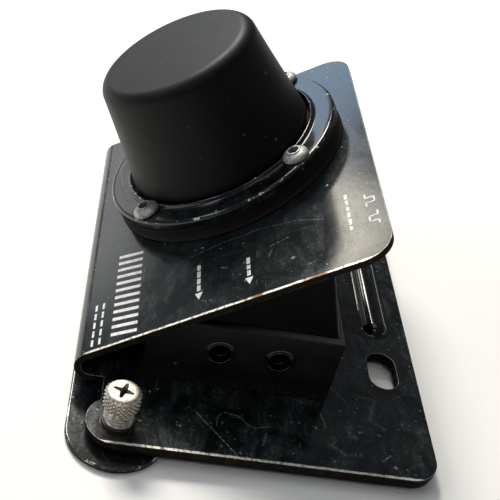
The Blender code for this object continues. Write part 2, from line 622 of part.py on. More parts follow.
def smooth_route(route, between):
    """Catmull-Rom points through a route."""
    padded = [route[0] * 2 - route[1]] + route + [route[-1] * 2 - route[-2]]
    points = []
    for a, b, c, d in zip(padded, padded[1:], padded[2:], padded[3:]):
        for i in range(between):
            t = i / between
            points.append(0.5 * (2 * b + (c - a) * t + (2 * a - 5 * b + 4 * c - d) * t ** 2
                                 + (3 * b - a - 3 * c + d) * t ** 3))
    return points + [route[-1]]


def main():
    for thing in list(bpy.data.objects):
        bpy.data.objects.remove(thing)
    bench = empty("bench", None, at(*-CENTRE))
    slope = empty("slope", bench, at(*FOLD_TOP) @ Matrix.Rotation(SLOPE, 4, 'X'))
    make_chassis(bench, slope)
    make_front_bar(bench)
    make_floor_mat(bench)
    make_anchor(bench)
    make_bar_fixing(bench)
    make_pad_stack(slope)
    make_housing(bench)
    make_electrics(bench)


main()
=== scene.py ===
"""A kick drum trigger pad, its finishes and its studio.

Shapes are built in millimetres in four local frames and carried to the part's
own place by the matrices below: the bench (x from the middle of the slope, y
back from the front of the fold, z up from the base plate), the slope, the pad
axis and the anchor bolt.
"""
from math import atan2, cos, hypot, pi, radians, sin, tan

import bmesh
import bpy
from mathutils import Matrix, Vector


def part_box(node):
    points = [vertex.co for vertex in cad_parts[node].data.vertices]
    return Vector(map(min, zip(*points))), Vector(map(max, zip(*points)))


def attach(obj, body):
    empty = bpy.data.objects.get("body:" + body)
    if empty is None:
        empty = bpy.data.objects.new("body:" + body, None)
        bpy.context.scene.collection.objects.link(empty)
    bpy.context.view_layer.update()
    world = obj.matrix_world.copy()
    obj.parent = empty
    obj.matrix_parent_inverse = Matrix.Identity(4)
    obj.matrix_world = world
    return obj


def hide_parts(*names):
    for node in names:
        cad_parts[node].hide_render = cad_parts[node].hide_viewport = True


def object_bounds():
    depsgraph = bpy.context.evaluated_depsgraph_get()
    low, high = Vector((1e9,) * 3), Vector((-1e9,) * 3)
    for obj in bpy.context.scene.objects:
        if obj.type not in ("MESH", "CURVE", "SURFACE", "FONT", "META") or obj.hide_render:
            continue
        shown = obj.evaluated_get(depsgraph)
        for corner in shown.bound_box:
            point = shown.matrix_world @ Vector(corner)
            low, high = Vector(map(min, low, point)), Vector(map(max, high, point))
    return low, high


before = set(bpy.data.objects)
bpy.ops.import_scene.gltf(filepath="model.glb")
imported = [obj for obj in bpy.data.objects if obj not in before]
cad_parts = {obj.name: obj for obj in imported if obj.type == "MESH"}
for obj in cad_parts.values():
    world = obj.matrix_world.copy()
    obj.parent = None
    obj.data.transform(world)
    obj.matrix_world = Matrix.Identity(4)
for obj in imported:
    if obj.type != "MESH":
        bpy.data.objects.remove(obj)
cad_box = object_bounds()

# ---- sizes in millimetres ---------------------------------------------------
SHEET = 2.6
SLOPE = radians(34.5)
FOLD_R = 6.5
SLOPE_LEN, SLOPE_HALF, SLOPE_CORNER = 116.5, 74.0, 11.5
BASE_FAR, BASE_NEAR, BASE_BACK, BASE_CORNER = -74.0, 105.3, 135.0, 11.0
FLOOR, BAR_TOP, MAT_TOP, MAT_BOTTOM = -7.25, -4.95, -2.9, -4.65
BAR_R, LOBE_R = 18.0, 11.3
KNURL_R, THREAD_R = 6.35, 5.35
BOLT, BAR_FIX = (94.5, 18.1), (-55.5, 18.1)  # centres on the bench
SLOT = (49.5, 121.0, 20.6, 12.0)  # middle x and y, length, width
BUSH_HOLE, BAR_HOLE, LEAD_HOLE, RING_HOLE = 6.35, 3.3, 4.3, 3.2
BEAD_NEAR, BEAD_FAR, BEAD_Y, BEAD_R = 29.0, -56.0, 121.5, 5.0
PAD_X, PAD_S, SCREW_HALF = -18.7, 58.4, 31.4
JACK_PANEL, JACK_Y, JACK_Z = 71.4, (51.1, 73.3), 16.75
TRAY_X, TRAY_FRONT, TRAY_BACK, TRAY_TOP, STEP_IN, COVER_LEAN = 22.0, 24.0, 95.0, 29.5, 2.0, 10.5

# ---- local frames -------------------------------------------------------------
at = Matrix.Translation


def turn(angle, axis):
    return Matrix.Rotation(angle, 4, axis)


bolt_low, bolt_high = (Vector(corner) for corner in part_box("anchor_bolt"))
bolt_mid = (bolt_low + bolt_high) / 2
BENCH = at((bolt_mid.x - BOLT[0] / 1000, bolt_mid.y - BOLT[1] / 1000, cad_box[0][2] - FLOOR / 1000)) \
    @ Matrix.Scale(0.001, 4)
FOLD_TOP = Vector((0, FOLD_R * (1 - sin(SLOPE)), FOLD_R - SHEET + FOLD_R * cos(SLOPE)))
UP_SLOPE = Vector((0, cos(SLOPE), sin(SLOPE)))
OFF_SLOPE = Vector((0, -sin(SLOPE), cos(SLOPE)))
ON_SLOPE = BENCH @ at(FOLD_TOP) @ turn(SLOPE, 'X')
ON_PAD = ON_SLOPE @ at((PAD_X, PAD_S, 0))
ON_BOLT = BENCH @ at((*BOLT, 0))


# ---- colours and nodes ----------------------------------------------------------
def srgb(code):
    """sRGB hex to linear RGBA."""
    parts = [int(code[i:i + 2], 16) / 255 for i in (1, 3, 5)]
    return tuple(p / 12.92 if p <= 0.04045 else ((p + 0.055) / 1.055) ** 2.4 for p in parts) + (1.0,)


def put(tree, kind, links=(), **settings):
    """Add a node; settings are its properties, links map its inputs to values or outputs."""
    made = tree.nodes.new("ShaderNode" + kind)
    for key, value in settings.items():
        setattr(made, key, value)
    for key, value in dict(links).items():
        if isinstance(value, bpy.types.NodeSocket):
            tree.links.new(value, made.inputs[key])
        else:
            made.inputs[key].default_value = value
    return made


def start(name, roughness=0.5, metallic=0.0, colour="#808080", **sockets):
    """An empty material with its shader; constants sit on the shader's own sockets."""
    material = bpy.data.materials.new(name)
    material.use_nodes = True
    tree = material.node_tree
    shader = tree.nodes["Principled BSDF"]
    shader.inputs["Base Color"].default_value = srgb(colour)
    shader.inputs["Roughness"].default_value = roughness
    shader.inputs["Metallic"].default_value = metallic
    for key, value in sockets.items():
        shader.inputs[key.replace("_", " ")].default_value = value
    material.diffuse_color = srgb(colour)
    return material, tree, shader


def local(tree, place):
    """Millimetre coordinates in a local frame."""
    back = place.inverted()
    shift, rotation, scale = back.decompose()
    coords = put(tree, "TexCoord")
    return put(tree, "Mapping", {"Vector": coords.outputs["Object"], "Location": shift,
                                 "Rotation": rotation.to_euler(), "Scale": scale}).outputs[0]


def maths(tree, operation, a, b=0.0, clamp=False):
    return put(tree, "Math", {0: a, 1: b}, operation=operation, use_clamp=clamp).outputs[0]


def cloud(tree, coords, size, detail=3.0, roughness=0.55, distortion=0.0):
    """Noise whose blotches are about size millimetres across."""
    return put(tree, "TexNoise", {"Vector": coords, "Scale": 1 / size, "Detail": detail,
                                  "Roughness": roughness, "Distortion": distortion}).outputs["Fac"]


def span(tree, value, low, high, to_low=0.0, to_high=1.0):
    """Clamp a value from one range to another."""
    return put(tree, "MapRange", {"Value": value, "From Min": low, "From Max": high, "To Min": to_low,
                                  "To Max": to_high}).outputs[0]


def blend_colour(tree, factor, a, b):
    """Mix two colours, each a hex code or an output."""
    mixed = put(tree, "Mix", {0: factor}, data_type='RGBA')
    for socket, value in ((mixed.inputs[6], a), (mixed.inputs[7], b)):
        if isinstance(value, str):
            socket.default_value = srgb(value)
        else:
            tree.links.new(value, socket)
    return mixed.outputs[2]


def bump(tree, shader, height, depth_mm):
    """Let a height pattern tilt the shading, as if it were depth_mm deep."""
    made = put(tree, "Bump", {"Height": height, "Distance": depth_mm / 1000})
    tree.links.new(made.outputs[0], shader.inputs["Normal"])


def feed(tree, shader, **outputs):
    """Link outputs to the shader's sockets of the same names."""
    for key, value in outputs.items():
        tree.links.new(value, shader.inputs[key.replace("_", " ")])


def wander(tree, coords, size, amount):
    """Coordinates pushed about by up to amount mm, so that a pattern on them loses its regularity."""
    drift = put(tree, "TexNoise", {"Vector": coords, "Scale": 1 / size, "Detail": 2.0}).outputs["Color"]
    drift = put(tree, "VectorMath", {0: drift, 1: (0.5, 0.5, 0.5)}, operation='SUBTRACT').outputs[0]
    drift = put(tree, "VectorMath", {0: drift, 3: 2 * amount}, operation='SCALE').outputs[0]
    return put(tree, "VectorMath", {0: coords, 1: drift}, operation='ADD').outputs[0]


def specks(tree, coords, spacing, size, share=0.5):
    """Scattered ragged flecks: size across, one site each spacing, only a share of the sites."""
    bent = wander(tree, coords, size * 0.8, size * 0.45)
    cells = put(tree, "TexVoronoi", {"Vector": bent, "Scale": 1 / spacing, "Randomness": 1.0})
    parts = put(tree, "SeparateColor", {0: cells.outputs["Color"]}).outputs
    kept = maths(tree, 'LESS_THAN', parts[0], share)
    limit = maths(tree, 'MULTIPLY', maths(tree, 'MULTIPLY', parts[1], parts[1]), size / spacing)
    dot = maths(tree, 'LESS_THAN', cells.outputs["Distance"], limit)
    return maths(tree, 'MULTIPLY', dot, kept)


def stroke(tree, coords, path, width, strength=1.0):
    """A scratch along a broken line of (x, y) points, fading to its sides."""
    result = None
    for a, b in zip(path, path[1:]):
        a, b = Vector((*a, 0)), Vector((*b, 0))
        flat = put(tree, "VectorMath", {0: coords, 1: (1, 1, 0)}, operation='MULTIPLY').outputs[0]
        offset = put(tree, "VectorMath", {0: flat, 1: a}, operation='SUBTRACT').outputs[0]
        run = put(tree, "VectorMath", {0: offset, 1: (b - a) / (b - a).length_squared},
                  operation='DOT_PRODUCT').outputs["Value"]
        run = maths(tree, 'MULTIPLY', run, 1.0, clamp=True)
        onto = put(tree, "VectorMath", {0: b - a, 3: run}, operation='SCALE')
        away = put(tree, "VectorMath", {0: offset, 1: onto.outputs[0]}, operation='DISTANCE').outputs["Value"]
        line = span(tree, away, width / 2, 0.0, 0.0, strength)
        result = line if result is None else maths(tree, 'MAXIMUM', result, line)
    return result


def most(tree, *values):
    """The largest of the values at each point."""
    result = values[0]
    for value in values[1:]:
        result = maths(tree, 'MAXIMUM', result, value)
    return result


# ---- finishes -------------------------------------------------------------------
GREENISH_FILM, BLUISH_FILM, DRIED_SPLASH = "#46544f", "#474e57", "#565e5b"
PALE_DUST, BROWN_DUST, TRAY_DUST = "#8f9390", "#7d7b75", "#77756e"
LOW_DUST, LEDGE_HIGHLIGHT = "#57574f", "#6a6a64"
SCRATCHED, RUBBED_AND_HIGHLIT_STEEL, RUST, GRIME = "#9da09b", "#e6e2d8", "#7d5634", "#5a5347"
DARK_BROWN = "#2a2118"


def gloss_enamel(name, place, scratches=(), dust=0.5, haze=0.5, wear=0.6, gloss=0.13, veil="#050606",
                 worn_and_highlit_rim_x=None):
    """Stoved gloss black enamel on steel: nearly a mirror, dulled by smears and dust, and worn
    through to dull metal and brown rust along its edges. veil is the colour of the clean paint, and
    the last argument is the near edge's x, along which a band of bare steel is painted a little
    way onto the flat: partly wear from shoes, partly a painted highlight."""
    material, tree, shader = start(name, gloss, colour="#0a0b0c", Specular_IOR_Level=0.5)
    coords = local(tree, place)
    bent = wander(tree, coords, 14, 5)
    # wiped film: broad patches broken by smears some 3 mm wide and by fine mottle
    broad = span(tree, cloud(tree, bent, 15, 6, 0.62, 0.8), 0.40, 0.66)
    drawn = put(tree, "Mapping", {"Vector": bent, "Rotation": (0, 0, 0.7),
                                  "Scale": (0.06, 0.36, 0.36)}).outputs[0]
    smear = span(tree, put(tree, "TexNoise", {"Vector": drawn, "Scale": 1.0, "Detail": 5.0,
                                              "Roughness": 0.65}).outputs["Fac"], 0.42, 0.68, 0.25, 1.0)
    fine = cloud(tree, coords, 1.4, 4, 0.7)
    film = maths(tree, 'MULTIPLY', maths(tree, 'MULTIPLY', broad, smear),
                 span(tree, fine, 0.3, 0.7, 0.45, 1.0))
    film = maths(tree, 'MULTIPLY', film, haze)
    tint = blend_colour(tree, span(tree, cloud(tree, coords, 20, 2), 0.4, 0.6), GREENISH_FILM, BLUISH_FILM)
    colour = blend_colour(tree, film, veil, tint)
    # dried splashes with a plain outline
    splash = span(tree, cloud(tree, bent, 9, 3, 0.5, 1.5), 0.67, 0.70, 0.0, 0.22 * haze)
    colour = blend_colour(tree, splash, colour, DRIED_SPLASH)
    clumps = span(tree, cloud(tree, coords, 11, 3), 0.48, 0.62, 0.1, 1.0)
    grit = most(tree, specks(tree, coords, 1.5, 0.6, 0.42 * dust),
                specks(tree, coords, 3.7, 0.95, 0.36 * dust))
    grit = most(tree, maths(tree, 'MULTIPLY', grit, clumps), specks(tree, coords, 12.0, 1.0, 0.4 * dust))
    colour = blend_colour(tree, maths(tree, 'MULTIPLY', grit, 0.6), colour, PALE_DUST)
    # hairlines from wiping and stacking, 0.15 mm wide and drawn a little coarser to show
    lines = None
    for angle, pitch in ((0.5, 9.0), (-0.9, 13.0), (1.5, 7.0)):
        along = put(tree, "Mapping", {"Vector": bent, "Rotation": (0, 0, angle), "Scale": (0.02, 1.3, 1.3)})
        hair = put(tree, "TexNoise", {"Vector": along.outputs[0], "Scale": 1.0, "Detail": 2.0,
                                      "Distortion": 0.2})
        line = span(tree, hair.outputs["Fac"], 0.69, 0.73)
        line = maths(tree, 'MULTIPLY', line, span(tree, cloud(tree, coords, pitch, 2), 0.52, 0.68, 0.0, 0.25))
        lines = line if lines is None else maths(tree, 'MAXIMUM', lines, line)
    shaky = wander(tree, coords, 7, 0.5)
    broken = span(tree, cloud(tree, coords, 0.9, 3, 0.7), 0.42, 0.56)
    for path, width, strength in scratches:
        lines = most(tree, lines, maths(tree, 'MULTIPLY', stroke(tree, shaky, path, width, strength), broken))
    colour = blend_colour(tree, lines, colour, SCRATCHED)
    edge = put(tree, "Attribute", attribute_name="worn_edge").outputs["Fac"]
    wear_and_rim_highlight = span(tree, cloud(tree, coords, 4, 5, 0.7), 0.62 - 0.3 * wear, 0.66 - 0.2 * wear)
    if worn_and_highlit_rim_x:
        # along the near edge a band of bare steel is painted a little way onto the flat: partly wear, partly
        # a painted highlight of the edge
        across = put(tree, "SeparateXYZ", {0: wander(tree, coords, 3, 0.35)}).outputs[0]
        edge = most(tree, edge, span(tree, across, worn_and_highlit_rim_x - 1.2, worn_and_highlit_rim_x - 0.9))
    wear_and_rim_highlight = maths(tree, 'MULTIPLY', edge, wear_and_rim_highlight)
    # bare steel shows where worn; in the near-edge band the bright steel is also a painted highlight
    metal = blend_colour(tree, span(tree, cloud(tree, coords, 13, 3), 0.60, 0.66), RUBBED_AND_HIGHLIT_STEEL, RUST)
    metal = blend_colour(tree, span(tree, cloud(tree, coords, 1.2, 3), 0.50, 0.68), metal, GRIME)
    colour = blend_colour(tree, wear_and_rim_highlight, colour, metal)
    rough = maths(tree, 'ADD', span(tree, film, 0.0, 1.0, gloss, gloss + 0.22),
                  span(tree, fine, 0.4, 0.7, 0.0, 0.04))
    rough = most(tree, rough, maths(tree, 'MULTIPLY', lines, 0.5), maths(tree, 'MULTIPLY', grit, 0.6),
                 maths(tree, 'MULTIPLY', wear_and_rim_highlight, 0.5), maths(tree, 'MULTIPLY', splash, 0.7))
    feed(tree, shader, Base_Color=colour, Roughness=rough, Metallic=maths(tree, 'MULTIPLY', wear_and_rim_highlight, 0.45))
    skin = maths(tree, 'SUBTRACT', cloud(tree, coords, 2.2, 2), maths(tree, 'MULTIPLY', lines, 0.6))
    bump(tree, shader, skin, 0.01)
    return material


def raw_cut(name, place):
    """Sheared edge of the sheet: thin matte paint over torn steel, brown with rust and packed dirt."""
    material, tree, shader = start(name, 0.7, colour="#0c0a08", Specular_IOR_Level=0.12)
    coords = local(tree, place)
    colour = blend_colour(tree, span(tree, cloud(tree, coords, 5, 5, 0.7), 0.42, 0.66), "#070605", "#1d1610")
    chipped = span(tree, cloud(tree, coords, 1.1, 4, 0.75), 0.62, 0.68, 0.0, 0.55)
    colour = blend_colour(tree, chipped, colour, "#6d675c")
    rusty = span(tree, cloud(tree, coords, 9, 4, 0.7), 0.60, 0.68, 0.0, 0.6)
    colour = blend_colour(tree, rusty, colour, "#3b2413")
    feed(tree, shader, Base_Color=colour, Roughness=span(tree, chipped, 0, 1, 0.75, 0.5))
    bump(tree, shader, cloud(tree, coords, 0.8, 4), 0.05)
    return material


def moulded_rubber(name, place, dark="#101112", light="#1c1d1d", rough=(0.42, 0.6), dust=0.5, shine=0.3):
    """Moulded rubber: matte, with the mould's fine grain, faint bloom and dust caught on it."""
    material, tree, shader = start(name, 0.5, colour=dark, Specular_IOR_Level=shine)
    coords = local(tree, place)
    bloom = cloud(tree, coords, 22, 4, 0.6)
    colour = blend_colour(tree, span(tree, bloom, 0.35, 0.7), dark, light)
    grit = most(tree, specks(tree, coords, 2.4, 0.6, 0.2 * dust), specks(tree, coords, 9.0, 1.0, 0.35 * dust))
    colour = blend_colour(tree, maths(tree, 'MULTIPLY', grit, 0.45), colour, BROWN_DUST)
    grain = cloud(tree, coords, 0.35, 3, 0.6)
    feed(tree, shader, Base_Color=colour,
         Roughness=most(tree, span(tree, bloom, 0.3, 0.7, *rough), maths(tree, 'MULTIPLY', grit, 0.8)))
    bump(tree, shader, grain, 0.03)
    return material


def moulded_abs(name, place, dark="#0a0b0b", light="#191b1b", low_dust_and_ledge_sheen=False, rough=(0.34, 0.5), shine=0.2):
    """Injection-moulded black ABS with a spark-eroded grain and dust in its corners; the tray's version also
    has dust along its foot and a painted highlight round its ledge.
    """
    material, tree, shader = start(name, 0.42, colour=dark, Specular_IOR_Level=shine)
    coords = local(tree, place)
    colour = blend_colour(tree, span(tree, cloud(tree, coords, 18, 4), 0.4, 0.7), dark, light)
    grit = most(tree, specks(tree, coords, 2.0, 0.55, 0.16), specks(tree, coords, 6.0, 0.9, 0.16))
    if low_dust_and_ledge_sheen:
        height = put(tree, "SeparateXYZ", {0: coords}).outputs[2]
        low = span(tree, height, 7.0, 0.4)
        dusty = maths(tree, 'MULTIPLY', low, span(tree, cloud(tree, coords, 1.3, 5, 0.75), 0.46, 0.66))
        grit = maths(tree, 'MULTIPLY', grit, span(tree, height, 26.0, 4.0, 0.25, 1.0))
        colour = blend_colour(tree, maths(tree, 'MULTIPLY', dusty, 0.5), colour, LOW_DUST)
        # a lighter grey band round the ledge at the top of the tray, stronger towards the back: a painted
        # highlight
        ledge_sheen = maths(tree, 'MULTIPLY', span(tree, height, TRAY_TOP - 1.0, TRAY_TOP - 0.2),
                      span(tree, put(tree, "SeparateXYZ", {0: coords}).outputs[1], 52, 90, 0.0, 0.85))
        colour = blend_colour(tree, ledge_sheen, colour, LEDGE_HIGHLIGHT)
    colour = blend_colour(tree, maths(tree, 'MULTIPLY', grit, 0.5), colour, TRAY_DUST)
    grain = cloud(tree, coords, 0.5, 2, 0.5)
    feed(tree, shader, Base_Color=colour, Roughness=span(tree, cloud(tree, coords, 9, 3), 0.35, 0.7, *rough))
    bump(tree, shader, grain, 0.02)
    return material


def plated_steel(name, place, bright="#b9b5ac", dull="#6f6a60", dirt=0.4, rough=(0.28, 0.5), metallic=1.0):
    """Zinc or nickel plate gone dull: grey bloom, brown blotches, darker brown where the mesh marks hollows,
    fine turning marks.
    """
    material, tree, shader = start(name, 0.35, metallic, colour=bright)
    coords = local(tree, place)
    bloom = cloud(tree, coords, 2.4, 5, 0.65, 0.4)
    colour = blend_colour(tree, span(tree, bloom, 0.4, 0.68), bright, dull)
    browned = maths(tree, 'MULTIPLY', span(tree, cloud(tree, coords, 1.3, 4, 0.7), 0.60 - 0.15 * dirt, 0.70),
                 dirt)
    hollow = put(tree, "Attribute", attribute_name="hollow").outputs["Fac"]
    # hollows marked on the mesh are coloured darker brown
    browned = most(tree, browned, maths(tree, 'MULTIPLY', hollow, span(tree, bloom, 0.3, 0.6, 0.95, 0.6)))
    colour = blend_colour(tree, browned, colour, DARK_BROWN)
    feed(tree, shader, Base_Color=colour,
         Roughness=most(tree, span(tree, bloom, 0.35, 0.7, *rough), maths(tree, 'MULTIPLY', browned, 0.8)))
    bump(tree, shader, cloud(tree, coords, 0.4, 3), 0.015)
    return material


def screen_ink(name, place):
    """White screen-printing ink, slightly matte, greyed and chipped by shoes."""
    material, tree, shader = start(name, 0.55, colour="#d2d3cf")
    coords = local(tree, place)
    worn = span(tree, cloud(tree, coords, 1.8, 4, 0.7), 0.52, 0.72)
    colour = blend_colour(tree, worn, "#dcdddb", "#8f9290")
    feed(tree, shader, Base_Color=colour, Roughness=span(tree, worn, 0, 1, 0.5, 0.75))
    return material


def open_foam(name, place):
    """Open-cell polyurethane foam: soft grey, pitted by its cells of about 1 mm."""
    material, tree, shader = start(name, 0.95, colour="#4a4b4d")
    coords = local(tree, place)
    cells = put(tree, "TexVoronoi", {"Vector": coords, "Scale": 1.0}).outputs["Distance"]
    feed(tree, shader, Base_Color=blend_colour(tree, span(tree, cells, 0.1, 0.7), "#2c2d2f", "#5c5d60"))
    bump(tree, shader, cells, 0.3)
    return material


def circuit_laminate(name, place):
    """Glass-epoxy board under green solder mask, with faint tracks below the mask."""
    material, tree, shader = start(name, 0.4, colour="#2f5a35")
    coords = local(tree, place)
    tracks = put(tree, "TexBrick", {"Vector": coords, "Scale": 0.18, "Mortar Size": 0.05,
                                    "Color1": srgb("#2a5230"), "Color2": srgb("#315d38"),
                                    "Mortar": srgb("#3f7447")})
    feed(tree, shader, Base_Color=tracks.outputs["Color"])
    bump(tree, shader, tracks.outputs["Fac"], 0.03)
    return material


# ---- building --------------------------------------------------------------------
def arc(cx, cy, r, start_deg, end_deg, steps):
    """Points along an arc, both ends included."""
    return [(cx + r * cos(radians(start_deg + (end_deg - start_deg) * i / steps)),
             cy + r * sin(radians(start_deg + (end_deg - start_deg) * i / steps))) for i in range(steps + 1)]


def ring_of(bm, points, z=0.0):
    """A closed chain of edges through points."""
    verts = [bm.verts.new((*p, z)) for p in points]
    return [bm.edges.new((verts[i - 1], verts[i])) for i in range(len(verts))]


def extrude(bm, faces, along):
    """Extrude faces by a vector."""
    grown = bmesh.ops.extrude_face_region(bm, geom=faces)
    bmesh.ops.translate(bm, vec=along, verts=[v for v in grown["geom"] if isinstance(v, bmesh.types.BMVert)])


def plate(outline, holes=(), low=0.0, high=1.0, round_mm=0.0, segments=3):
    """A flat plate from an outline and holes, its edges rounded and marked as worn edges."""
    bm = bmesh.new()
    edges = ring_of(bm, outline, low)
    for hole in holes:
        edges += ring_of(bm, hole, low)
    bmesh.ops.triangle_fill(bm, use_beauty=True, use_dissolve=False, edges=edges)
    extrude(bm, bm.faces[:], (0, 0, high - low))
    bmesh.ops.recalc_face_normals(bm, faces=bm.faces)
    worn = bm.loops.layers.float.new("worn_edge")
    if round_mm:
        rims = [e for e in bm.edges if len(e.link_faces) == 2 and e.calc_face_angle() > radians(60)
                and abs(e.verts[0].co.z - e.verts[1].co.z) < 1e-4]
        made = bmesh.ops.bevel(bm, geom=rims, offset=round_mm, offset_type='OFFSET', segments=segments,
                               profile=0.5, affect='EDGES', material=-1, clamp_overlap=True)
        for face in made["faces"]:
            for loop in face.loops:
                loop[worn] = 1.0
    bm.normal_update()
    for face in bm.faces:
        if abs(face.normal.z) < 0.2:
            face.material_index = 1
    return bm


def turned(profile, steps=96, closed=False):
    """A turned piece from (radius, height) points; an open profile starts and ends on the axis."""
    bm = bmesh.new()
    verts = [bm.verts.new((r, 0, h)) for r, h in profile]
    pairs = list(zip(verts, verts[1:])) + ([(verts[-1], verts[0])] if closed else [])
    edges = [bm.edges.new(pair) for pair in pairs]
    bmesh.ops.spin(bm, geom=verts + edges, cent=(0, 0, 0), axis=(0, 0, 1), angle=2 * pi, steps=steps,
                   use_merge=True)
    bmesh.ops.remove_doubles(bm, verts=bm.verts, dist=1e-4)
    bmesh.ops.recalc_face_normals(bm, faces=bm.faces)
    bm.loops.layers.float.new("worn_edge")
    return bm


def mark_worn(bm, inside):
    """Mark faces whose middle passes a test as worn edge."""
    worn = bm.loops.layers.float.get("worn_edge") or bm.loops.layers.float.new("worn_edge")
    for face in bm.faces:
        if inside(face.calc_center_median()):
            for loop in face.loops:
                loop[worn] = 1.0


def smooth(mesh, sharp):
    """Smooth shading, broken at edges over an angle in degrees."""
    mesh.shade_smooth()
    mesh.set_sharp_from_angle(angle=radians(sharp))


def piece(name, bm, place, material, body="frame", stands_for=(), sharp=40, weighted=True):
    """Finish a bmesh as a shown piece at its place, riding on its body; a list of finishes goes by
    the faces' index."""
    finishes = material if isinstance(material, list) else [material]
    for face in bm.faces:
        face.material_index = min(face.material_index, len(finishes) - 1)
    bmesh.ops.transform(bm, matrix=place, verts=bm.verts)
    mesh = bpy.data.meshes.new(name)
    bm.to_mesh(mesh)
    bm.free()
    smooth(mesh, sharp)
    for finish in finishes:
        mesh.materials.append(finish)
    made = bpy.data.objects.new(name, mesh)
    bpy.context.scene.collection.objects.link(made)
    if weighted:
        even = made.modifiers.new("even_shading", 'WEIGHTED_NORMAL')
        even.keep_sharp = True
        even.weight = 50
    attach(made, body)
    for node in stands_for:
        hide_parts(node)
    return made


def hexagon(across_flats):
    """Corners of a hexagon about the origin."""
    r = across_flats / 2 / cos(pi / 6)
    return [(r * cos(i * pi / 3), r * sin(i * pi / 3)) for i in range(6)]


def carve(target, bm, place, name):
    """Cut a shape out of a piece for good."""
    bmesh.ops.transform(bm, matrix=place, verts=bm.verts)
    bmesh.ops.recalc_face_normals(bm, faces=bm.faces)
    mesh = bpy.data.meshes.new(name)
    bm.to_mesh(mesh)
    bm.free()
    tool = bpy.data.objects.new(name, mesh)
    bpy.context.scene.collection.objects.link(tool)
    cut = target.modifiers.new(name, 'BOOLEAN')
    cut.operation, cut.solver, cut.object = 'DIFFERENCE', 'EXACT', tool
    bpy.context.view_layer.update()
    done = bpy.data.meshes.new_from_object(target.evaluated_get(bpy.context.evaluated_depsgraph_get()))
    target.modifiers.remove(cut)
    old = target.data
    target.data = done
    bpy.data.meshes.remove(old)
    bpy.data.objects.remove(tool)
    bpy.data.meshes.remove(mesh)


# ---- folded steel -----------------------------------------------------------------
FOLD_MID = FOLD_R - SHEET / 2
FOLD_TURN = pi / 2 + pi / 2 - SLOPE
FOLD_LEN = FOLD_MID * FOLD_TURN
FOLD_CUTS = 24


def fold(point):
    """Carry a point of the flat blank (x, y, depth into the sheet) to the folded sheet.

    The blank's y is the base plate's y down to the fold and runs on through it to the slope."""
    x, y, depth = point
    run = FOLD_R - y
    if run <= 0:
        return Vector((x, y, -SHEET + depth))
    if run < FOLD_LEN:
        a = radians(270) - run / FOLD_MID
        r = FOLD_R - depth
        return Vector((x, FOLD_R + r * cos(a), FOLD_R - SHEET + r * sin(a)))
    return Vector((x, 0, 0)) + FOLD_TOP + UP_SLOPE * (run - FOLD_LEN) - OFF_SLOPE * depth


def blank_y(s):
    """Blank's y of a place s up the slope."""
    return FOLD_R - FOLD_LEN - s


def slot_hole(wider=0.0):
    """Outline of the oblong slot, each side moved out by wider."""
    x, y, length, width = SLOT
    run, r = length / 2 - width / 2, width / 2 + wider
    return arc(x + run, y, r, -90, 90, 16) + arc(x - run, y, r, 90, 270, 16)


def make_folded_plate(base, cut_edge, slope):
    """The sheet: cut out flat with its holes, cut across at the fold, then folded."""
    top = blank_y(SLOPE_LEN)
    ear = arc(*BOLT, LOBE_R, 0, -144, 30)
    ear = [p for p in ear if p[0] < BASE_NEAR]
    outline = arc(SLOPE_HALF - SLOPE_CORNER, top + SLOPE_CORNER, SLOPE_CORNER, -90, 0, 14) \
        + [(SLOPE_HALF, ear[-1][1])] + list(reversed(ear)) \
        + [(BASE_NEAR, BOLT[1] + 2)] \
        + arc(BASE_NEAR - BASE_CORNER, BASE_BACK - BASE_CORNER, BASE_CORNER, 0, 90, 14) \
        + arc(BASE_FAR + BASE_CORNER, BASE_BACK - BASE_CORNER, BASE_CORNER, 90, 180, 14) \
        + arc(-SLOPE_HALF + SLOPE_CORNER, top + SLOPE_CORNER, SLOPE_CORNER, 180, 270, 14)
    holes = [slot_hole(), arc(*BOLT, BUSH_HOLE, 0, 345, 23), arc(*BAR_FIX, BAR_HOLE, 0, 345, 23),
             arc(PAD_X, blank_y(PAD_S), LEAD_HOLE, 0, 345, 23)]
    holes += [arc(PAD_X + a * SCREW_HALF, blank_y(PAD_S + b * SCREW_HALF), RING_HOLE, 0, 330, 11)
              for a in (-1, 1) for b in (-1, 1)]
    bm = plate(outline, holes, 0, SHEET, 0.85, 4)
    for i in range(FOLD_CUTS + 1):
        bmesh.ops.bisect_plane(bm, geom=bm.verts[:] + bm.edges[:] + bm.faces[:], dist=1e-5,
                               plane_co=(0, FOLD_R - FOLD_LEN * i / FOLD_CUTS, 0), plane_no=(0, 1, 0))
    for face in bm.faces:
        if face.material_index == 0 and face.calc_center_median().y < FOLD_R - FOLD_LEN:
            face.material_index = 2
    for v in bm.verts:
        v.co = fold(v.co)
    bmesh.ops.recalc_face_normals(bm, faces=bm.faces)
    piece("folded_plate", bm, BENCH, [base, cut_edge, slope], stands_for=["chassis"],
          sharp=50)


def make_bead(material):
    """Half-round stiffening bead pressed up out of the base plate, running into it by a small fillet."""
    crown = [pi / 2 * i / 9 for i in range(1, 9)]
    profile = [(0, -0.6), (6.6, -0.6), (6.6, 0.0), (6.0, 0.04), (5.5, 0.2), (5.15, 0.6)] \
        + [(BEAD_R * cos(a), 0.4 + 3.5 * sin(a)) for a in crown] + [(0, 3.9)]
    bm = turned(profile, 64)
    length = BEAD_NEAR - BEAD_FAR - 2 * BEAD_R
    for v in bm.verts:
        if v.co.x > -1e-4:
            v.co.x += length
    piece("pressed_bead", bm, BENCH @ at((BEAD_FAR + BEAD_R, BEAD_Y, 0)), material)


def make_bar(material):
    """Flat bar under the front, round at both ends."""
    outline = arc(*BOLT, BAR_R, -90, 90, 40) + arc(*BAR_FIX, BAR_R, 90, 270, 40)
    holes = [arc(*BOLT, 5.7, 0, 350, 35), arc(*BAR_FIX, 5.9, 0, 350, 35)]
    bm = plate(outline, holes, FLOOR, BAR_TOP, 0.7, 3)
    piece("front_clamp_bar", bm, BENCH, material, stands_for=["front_bar"],
          sharp=50)


